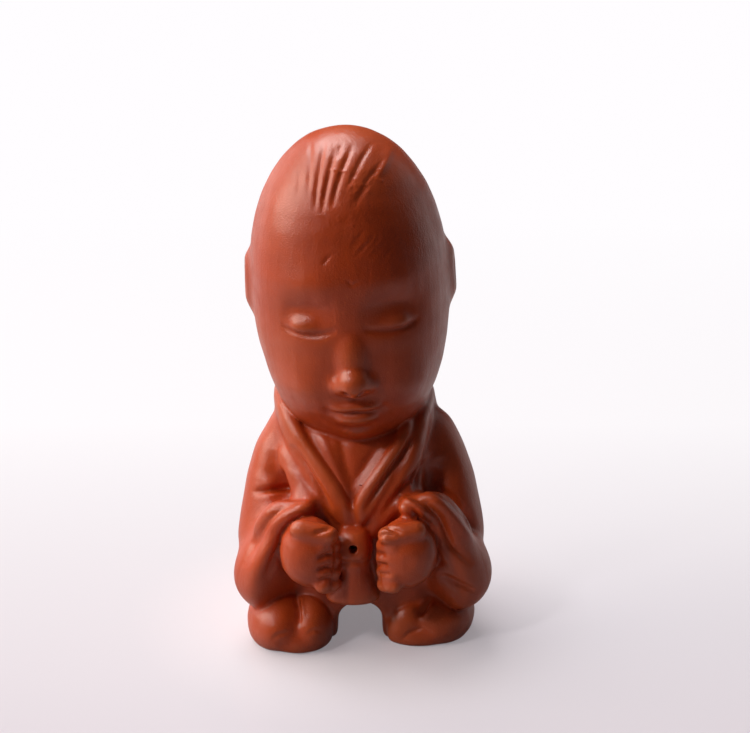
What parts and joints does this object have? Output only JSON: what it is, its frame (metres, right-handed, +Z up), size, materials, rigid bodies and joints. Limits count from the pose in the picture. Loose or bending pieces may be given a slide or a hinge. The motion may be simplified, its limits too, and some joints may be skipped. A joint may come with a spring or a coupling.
{
  "type": "boy tea pet",
  "caption": "Hollow fired-clay tea pet: a squatting robed boy with an egg-shaped head, fists in front and a pinhole spout that jets water when hot water is poured over it.",
  "frame": {"origin": "centre of the footprint's bounding box, on the surface that the figure stands on", "axes": "+Z up along the figure's height, -Y out of the face, +X towards the figure's own left side; units metres"},
  "size_m": [0.0392, 0.0352, 0.077],
  "materials": {
    "clay": "unglazed red-brown stoneware, burnished to a soft sheen"
  },
  "bodies": {
    "root": {"face_shell": "clay", "back_of_head_shell": "clay", "forelock": "clay", "nose": "clay", "right_ear": "clay", "left_ear": "clay", "neck_ring": "clay", "front_body_shell": "clay", "back_body_shell": "clay", "right_fist": "clay", "left_fist": "clay", "right_cuff": "clay", "left_cuff": "clay", "right_upper_sleeve": "clay", "left_upper_sleeve": "clay", "right_foot": "clay", "left_foot": "clay", "spout": "clay", "right_collar": "clay", "left_collar": "clay", "right_robe_edge": "clay", "left_inner_band": "clay"}
  },
  "joints": []
}
